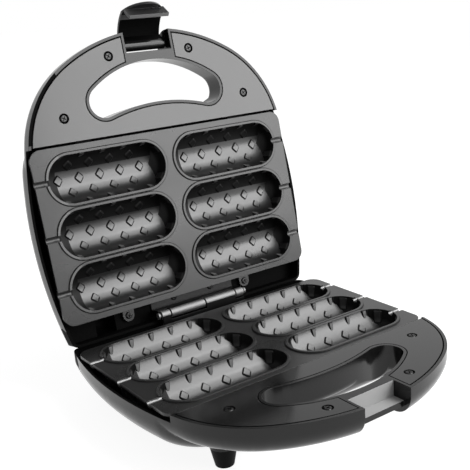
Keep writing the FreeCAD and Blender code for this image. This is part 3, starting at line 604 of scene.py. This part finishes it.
def in_pocket(point):
    """How far a point is past the start of the pocket's round end, from its row and past its mouth."""
    x, d, z = drawn(point)
    row = min(ROW_REACH, key=lambda reach: abs(reach - d))
    start, end = POCKET_ENDS[0] + MOUTH_HALF_WIDTH, POCKET_ENDS[1] - MOUTH_HALF_WIDTH
    along = max(start - abs(x), 0.0, abs(x) - end)
    return along, d - row, math.hypot(along, d - row) - MOUTH_HALF_WIDTH


# %% Which coat a face takes
COATS = (nonstick, pocket_coat, shade_black, rim_painted_highlight, mark_side_painted_shade, groove_polish, pocket_painted_shade)
FACE, POCKET, COVERED, RIM, RIM_STEP, GROOVE, DARK = range(len(COATS))
LEFT_ENDS = (POCKET_ENDS[0], -POCKET_ENDS[1])


def plate_coat(point, normal, shown_x):
    """The coat of a face, from its place and normal on the casting and its own x in mm on the open cooker."""
    x, d, z = drawn(point)
    along, from_row, past_mouth = in_pocket(point)
    # Faces past this reach are the plate's tongues in the gap to the shell, painted black as shade.
    if d > COVERED_REACH:
        return COVERED
    on_wall = normal.z > WALL_RISE or past_mouth > -WALL_MARGIN
    if past_mouth < MOUTH_MARGIN and TROUGH_SPAN[0] < z < TROUGH_SPAN[1] and on_wall:
        # Front walls and ends of the troughs take painted shade.
        from_left_end = shown_x - LEFT_ENDS[int(shown_x <= 0.0)]
        in_dark = from_row > DARK_SIDE or along > DARK_RIGHT_END or from_left_end < DARK_LEFT_END
        return DARK if in_dark else POCKET
    # The rim's flat top takes the painted highlight.
    if 0.0 < past_mouth < RIM_WIDTH + WALL_MARGIN and abs(z - RIM_TOP) < LEVEL_MARGIN:
        return RIM
    # The step round a rim takes the painted shade of the marks' sides.
    if abs(past_mouth - RIM_WIDTH) < RIM_STEP_MARGIN and FACE_TOP < z < RIM_TOP and normal.z < STEP_RISE:
        return RIM_STEP
    in_groove = abs(x) > POCKET_ENDS[1] and abs(from_row) < STICK_RADIUS and GROOVE_BOTTOM < z < RIM_TOP
    return GROOVE if in_groove and normal.z > GROOVE_RISE else FACE


def on_rim_edge(point):
    """Whether a point lies on the outer edge of a pocket's rim."""
    return (abs(in_pocket(point)[2] - RIM_WIDTH) < WALL_MARGIN
            and abs(drawn(point)[2] - RIM_TOP) < LEVEL_MARGIN)


# %% Plates
for half in ("base", "lid"):
    plate = merged_copy(half + "_cooking_plate", half + "_pocket_plate")
    give_coats(plate, COATS)
    dissolve_flat(plate, 0.2)
    back = to_base(half)
    turn = back.to_3x3()
    for left_end in LEFT_ENDS:
        select_faces(plate, lambda face: in_pocket(back @ face.center)[2] < 0.0)
        bpy.ops.mesh.bisect(plane_co=((left_end + DARK_LEFT_END) * MM, 0, 0), plane_no=(1, 0, 0))
        leave()
    for face in plate.data.polygons:
        face.material_index = plate_coat(back @ face.center, turn @ face.normal, face.center.x / MM)
    weights = plate.data.attributes.new("bevel_weight_edge", "FLOAT", "EDGE")
    for edge in plate.data.edges:
        ends = [back @ plate.data.vertices[i].co for i in edge.vertices]
        weights.data[edge.index].value = float(all(on_rim_edge(end) for end in ends))
    # The rims' outer edges get a chamfer of painted shade.
    add_chamfer(plate, "rim outline", RIM_CHAMFER, coat=RIM_STEP, by_weight=True)
    apply_all(plate)
    smooth(plate)
    stands_for(plate, half + "_cooking_plate", half)

# %% [markdown]
# ## Marks in the pockets
# The sausages are held by three rows of low raised diamonds along each trough, and by two tall marks in each
# of its round ends. The steep walls under the rims carry narrow tongues, drawn in the direction in which a
# casting leaves its mould. All of them begin as flat outlines lying at the origin: a diamond is a square
# grid turned by 45 degrees and stretched, and a tongue is a stretched circle that the rim will cut.

# %% Flat outlines
DIAMOND_ALONG, DIAMOND_ROUND, DIAMOND_CELLS = 8.6, 10.8, (5, 5)
END_MARK_WIDTH, END_MARK_HEIGHT, END_MARK_CELLS = 7.2, 11.0, (4, 7)
TONGUE_WIDTH, TONGUE_HEIGHT, TONGUE_CORNERS = 4.4, 18.0, 28
HALF_DIAGONAL = math.sqrt(0.5)


def flat_grid(name, cells, turn, width, height):
    """A grid of quads, one unit square, turned about Z and then sized in mm."""
    bpy.ops.object.select_all(action="DESELECT")
    bpy.ops.mesh.primitive_grid_add(x_subdivisions=cells[0], y_subdivisions=cells[1], size=1.0)
    piece = bpy.context.object
    piece.name = name
    piece.rotation_euler = (0, 0, turn)
    finish_place(piece)
    piece.scale = (width * MM, height * MM, 1.0)
    finish_place(piece)
    return piece


diamond = flat_grid("diamond", DIAMOND_CELLS, math.pi / 4, DIAMOND_ALONG * HALF_DIAGONAL,
                    DIAMOND_ROUND * HALF_DIAGONAL)
end_mark = flat_grid("end_mark", END_MARK_CELLS, 0.0, END_MARK_WIDTH, END_MARK_HEIGHT)
bpy.ops.object.select_all(action="DESELECT")
bpy.ops.mesh.primitive_circle_add(vertices=TONGUE_CORNERS, radius=0.5, fill_type="NGON")
tongue = bpy.context.object
tongue.name = "tongue"
tongue.scale = (TONGUE_WIDTH * MM, TONGUE_HEIGHT * MM, 1.0)
finish_place(tongue)
for outline in (diamond, end_mark, tongue):
    print(outline.name, [round(v / MM, 2) for v in outline.dimensions])

# %% [markdown]
# ## Where the marks stand
# The places are worked out for one pocket, the middle one on the right. A diamond is moved out to the
# trough's radius and swung round the trough's axis, so that it lies square to the wall. A tongue hangs from
# the rim and leans with the wall. An end mark is stood upright and turned round the middle of the pocket's
# round end.

# %% Places in the middle right pocket
ROW_Y = axis.y - MIDDLE_ROW * MM
TROUGH_AXIS = Vector((0, ROW_Y, (PLANE + TROUGH_AXIS_RISE) * MM))
FIRST_MARK, MARK_PITCH = 21.3, 17.55
DIAMOND_ROWS = ((0.0, 0.0, 5), (35.0, 0.5, 4), (-35.0, 0.5, 4))
TONGUE_FACE, TONGUE_DRAFT, TONGUE_COUNT, RIM_CUT = 16.9, 9.5, 5, -0.35
END_CENTRES = ((23.45, math.pi), (86.05, 0.0))
END_MARK_TURN, END_MARK_MIDDLE = math.radians(37.0), -7.0

places, tongue_places = [], []
to_wall = Matrix.Translation((0, 0, -TROUGH_RADIUS * MM))
for degrees, start, count in DIAMOND_ROWS:
    swing = Matrix.Rotation(-math.radians(degrees), 4, "X")
    for i in range(count):
        x = (FIRST_MARK + (start + i) * MARK_PITCH) * MM
        places.append((diamond, Matrix.Translation(Vector((x, 0, 0)) + TROUGH_AXIS) @ swing @ to_wall))
for side in (-1, 1):
    upright = Matrix.Rotation(side * math.radians(90.0 - TONGUE_DRAFT), 4, "X")
    for i in range(TONGUE_COUNT):
        x = (FIRST_MARK + i * MARK_PITCH) * MM
        rim_point = Matrix.Translation((x, ROW_Y + side * TONGUE_FACE * MM, (PLANE + RIM_CUT) * MM))
        tongue_places.append((tongue, rim_point @ upright))
stand_up = Matrix.Rotation(-math.pi / 2, 4, "Y") @ Matrix.Rotation(math.pi / 2, 4, "Z")
to_end_wall = Matrix.Translation((MOUTH_HALF_WIDTH * MM, 0, END_MARK_MIDDLE * MM))
for centre, towards in END_CENTRES:
    middle_of_end = Matrix.Translation((centre * MM, ROW_Y, PLANE * MM))
    for side in (-1, 1):
        spin = Matrix.Rotation(towards + side * END_MARK_TURN, 4, "Z")
        places.append((end_mark, middle_of_end @ spin @ to_end_wall @ stand_up))
print("marks in a pocket", len(places) + len(tongue_places))

# %% [markdown]
# ## From outlines to marks
# A shrinkwrap lays the flat diamonds and end marks on the casting, so that they follow its curve, and only
# then do they get their thickness. Their roots are sunk in the wall, and a chamfer with the dark side coat
# draws their outline as painted shade. The tongues stay flat and lie just proud of the wall, cut level
# under the rim, and their tops are painted much lighter, as painted light.

# %% Copying, joining and thickening
MARK_RAISE, MARK_ROOT, MARK_BEVEL = 1.1, 1.0, 1.3
TONGUE_ROOT, TONGUE_BEVEL = 2.6, 0.75


def joined(name, pieces):
    """One object from several."""
    pick(pieces[0])
    for piece in pieces:
        piece.select_set(True)
    bpy.ops.object.join()
    bpy.context.object.name = name
    return bpy.context.object


def copy_of(piece, name, move):
    """A copy with its own mesh, moved."""
    twin = bpy.data.objects.new(name, piece.data.copy())
    twin.data.transform(move)
    bpy.context.scene.collection.objects.link(twin)
    return twin


def thicken(piece, raised, root, bevel, coats):
    """Give flat marks their thickness, with their second coat on the sides and the chamfer round the top."""
    give_coats(piece, coats)
    thick = piece.modifiers.new("thickness", "SOLIDIFY")
    thick.thickness = (raised + root) * MM
    thick.offset = (raised - root) / (raised + root)
    thick.material_offset_rim = 1
    add_chamfer(piece, "soft edge", bevel, coat=1, clamp=True)
    apply_all(piece)


# %% One pocket's marks
wall_target = merged_copy("base_cooking_plate", "wall_target")
pocket_marks = joined("pocket_marks", [copy_of(mark, "mark", move) for mark, move in places])
wrap = pocket_marks.modifiers.new("lie on the wall", "SHRINKWRAP")
wrap.target = wall_target
wrap.wrap_method = "NEAREST_SURFACEPOINT"
apply_all(pocket_marks)
bpy.data.objects.remove(wall_target)
thicken(pocket_marks, MARK_RAISE, MARK_ROOT, MARK_BEVEL, (mark_top, mark_side_painted_shade))

rim_tongues = joined("rim_tongues", [copy_of(mark, "tongue", move) for mark, move in tongue_places])
edit(rim_tongues)
bpy.ops.mesh.select_all(action="SELECT")
bpy.ops.mesh.bisect(plane_co=(0, 0, (PLANE + RIM_CUT) * MM), plane_no=(0, 0, 1), clear_outer=True)
leave()
# The tongues take their lighter tops of painted light.
thicken(rim_tongues, 0.0, TONGUE_ROOT, TONGUE_BEVEL, (tongue_top_painted_light, mark_side_painted_shade))
pocket_marks = joined("pocket_marks", [pocket_marks, rim_tongues])
print("one pocket's marks", len(pocket_marks.data.polygons), "faces")

# %% [markdown]
# ## One set for twelve pockets
# The pockets are the same, so the set is copied to the three rows and turned by half a turn for the left
# side. On the pockets' front walls, which are painted with shade, the marks' tops take the same painted
# shade. The lid's marks are the base's marks, moved as the whole lid is.

# %% Copies for all pockets
about_row = Matrix.Translation((0, ROW_Y, 0))
half_turn = about_row @ Matrix.Rotation(math.pi, 4, "Z") @ about_row.inverted()
sets = []
for reach in ROW_REACH:
    shift = Matrix.Translation((0, (MIDDLE_ROW - reach) * MM, 0))
    sets.append(copy_of(pocket_marks, "marks", shift))
    sets.append(copy_of(pocket_marks, "marks", shift @ half_turn))
base_marks = joined("base_pocket_marks", sets)
smooth(base_marks, angle=20)
base_marks.data.materials.append(pocket_painted_shade)
mark_coats = list(base_marks.data.materials)
# Marks on the front walls take the pockets' painted shade.
for face in base_marks.data.polygons:
    if in_pocket(face.center)[1] > DARK_SIDE and mark_coats[face.material_index] == mark_top:
        face.material_index = mark_coats.index(pocket_painted_shade)
lid_marks = copy_of(base_marks, "lid_pocket_marks", to_open_lid())
for piece in (diamond, end_mark, tongue, pocket_marks):
    bpy.data.objects.remove(piece)
for marks, body in ((base_marks, "base"), (lid_marks, "lid")):
    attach(marks, body)
    print(marks.name, "faces", len(marks.data.polygons))

# %% [markdown]
# ## Screws
# One domed screw with a cross recess is modelled at the origin with its head's top at zero: a cylinder whose
# top edge is beveled, whose underside is inset and extruded to a shank, and from which two bars are cut.
# The cut faces take a near-black coat, painted shade in the recess. It is copied to every place where a
# screw shows: four in each cover, two in each plate and two in each hinge leaf.

# %% One screw
HEAD_RADIUS, HEAD_HEIGHT, HEAD_ROUNDING, HEAD_SIDES = 2.9, 1.2, 0.95, 40
SHANK_RADIUS, SHANK_LENGTH = 1.5, 9.0
CROSS_LENGTH, CROSS_WIDTH, CROSS_DEPTH = 3.6, 0.75, 0.9

bpy.ops.object.select_all(action="DESELECT")
bpy.ops.mesh.primitive_cylinder_add(vertices=HEAD_SIDES, radius=HEAD_RADIUS * MM, depth=HEAD_HEIGHT * MM,
                                    location=(0, 0, -HEAD_HEIGHT / 2 * MM))
screw = bpy.context.object
finish_place(screw)
select_faces(screw, lambda face: face.normal.z > FACING)
bpy.ops.mesh.bevel(offset=HEAD_ROUNDING * MM, segments=5, profile=0.5)
leave()
select_faces(screw, lambda face: face.normal.z < -FACING)
bpy.ops.mesh.inset(thickness=(HEAD_RADIUS - SHANK_RADIUS) * MM)
bpy.ops.mesh.extrude_region_move(TRANSFORM_OT_translate={"value": (0, 0, -SHANK_LENGTH * MM)})
leave()
screw.data.materials.append(steel)
for turn in (0.0, math.pi / 2):
    bpy.ops.mesh.primitive_cube_add(size=1.0, rotation=(0, 0, turn))
    bar = bpy.context.object
    bar.scale = (CROSS_LENGTH * MM, CROSS_WIDTH * MM, 2 * CROSS_DEPTH * MM)
    finish_place(bar)
    bar.data.materials.append(screw_recess_painted_shade)
    recess = screw.modifiers.new("cross recess", "BOOLEAN")
    recess.object = bar
    recess.solver = "EXACT"
    recess.material_mode = "TRANSFER"
    apply_all(screw)
    bpy.data.objects.remove(bar)
print("screw faces", len(screw.data.polygons), "size", [round(v / MM, 2) for v in screw.dimensions])

# %% Screws in their places
SCREW_PLACES = {
    "cover_screws": [(-82.4, 166.8, 0.4), (82.4, 166.8, 0.4), (-36.3, 209.0, 0.4), (36.3, 209.0, 0.4)],
    "plate_screws": [(-57.0, 5.5, 13.3), (57.0, 5.5, 13.3)],
    "hinge_screws": [(-13.45, 9.5, 14.8), (22.55, 9.5, 14.8)],
}
FIRST_TURN, TURN_STEP = 25.0, 40.0
for group, spots in SCREW_PLACES.items():
    for half in ("base", "lid"):
        side = -1 if (half, group) == ("lid", "hinge_screws") else 1
        move = Matrix.Identity(4) if half == "base" else to_open_lid()
        twins = []
        for i, (x, d, drop) in enumerate(spots):
            seat = Matrix.Translation((side * x * MM, axis.y - d * MM, (PLANE - drop) * MM))
            driven = Matrix.Rotation(math.radians(FIRST_TURN + TURN_STEP * i), 4, "Z")
            twins.append(copy_of(screw, "screw", move @ seat @ driven))
        screws = joined(half + "_" + group + "_crossed", twins)
        smooth(screws, angle=35)
        if group == "hinge_screws":
            screws.data.materials[0] = leaf_black
        stands_for(screws, half + "_" + group, half)
bpy.data.objects.remove(screw)

# %% [markdown]
# ## The rest of the CAD pieces
# The other parts keep their CAD shape, and joined copies carry their finish, also inside the halves, where
# they show when the model is taken apart. The latch is one moulding with three more coats: the edge of its
# lip painted pale as light, the crown above it in a duller grey, and the hollow below painted black as
# shade. On the hinge the leaves are much darker than the plated barrel that they roll up to, so the coat
# follows the distance from the axis.

# %% Coats of the latch
LIP_EDGE, EDGE_MATCH, LIP_RISE = Vector((0.0, -0.86, -0.51)), 0.97, (231.0, 236.0)
CROWN_RISE, HOLLOW_RISE, HOLLOW_FACING = 235.5, 215.0, 0.3
LATCH_COATS = (gloss_black, latch_lip_painted_light, latch_crown, shade_black)


def latch_coat(face):
    """Which of the latch's coats a face takes."""
    rise = (face.center.z - axis.z) / MM
    # The lip's edge takes painted light and the hollow painted shade; the crown takes a duller grey.
    if face.normal.dot(LIP_EDGE) > EDGE_MATCH and LIP_RISE[0] < rise < LIP_RISE[1]:
        return 1
    if rise > CROWN_RISE:
        return 2
    return 3 if face.normal.y < -HOLLOW_FACING and rise > HOLLOW_RISE else 0


# %% Finishes on CAD nodes
KNUCKLE_RADIUS, KNUCKLE_MARGIN = 3.6, 0.1
FINISHES = {
    "screw_steel": steel, "hinge_chrome": chrome, "latch_plastic": gloss_black, "foot_plastic": rubber,
    "gland_plastic": gland_black, "element_steel": sheath, "reflector_aluminium": sheet,
    "terminal_plastic": natural, "thermostat_metal": can, "fuse_sleeve": braid, "red_lens": red,
    "green_lens": green, "lamp_glass": glass,
}

slots = {part["node"]: part["material_slot"] for part in frame["record"]["subparts"]}
for node, slot in slots.items():
    if slot in FINISHES and not frame["nodes"][node].hide_render:
        copy = merged_copy(node, node + "_finished")
        if node == "latch":
            give_coats(copy, LATCH_COATS)
            for face in copy.data.polygons:
                face.material_index = latch_coat(face)
        elif slot == "hinge_chrome":
            give_coats(copy, (FINISHES[slot], leaf_black))
            for face in copy.data.polygons:
                arm = math.hypot(face.center.y - axis.y, face.center.z - axis.z)
                face.material_index = int(arm > (KNUCKLE_RADIUS + KNUCKLE_MARGIN) * MM)
        else:
            give_coats(copy, (FINISHES[slot],))
        stands_for(copy, node, frame["nodes"][node]["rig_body"])
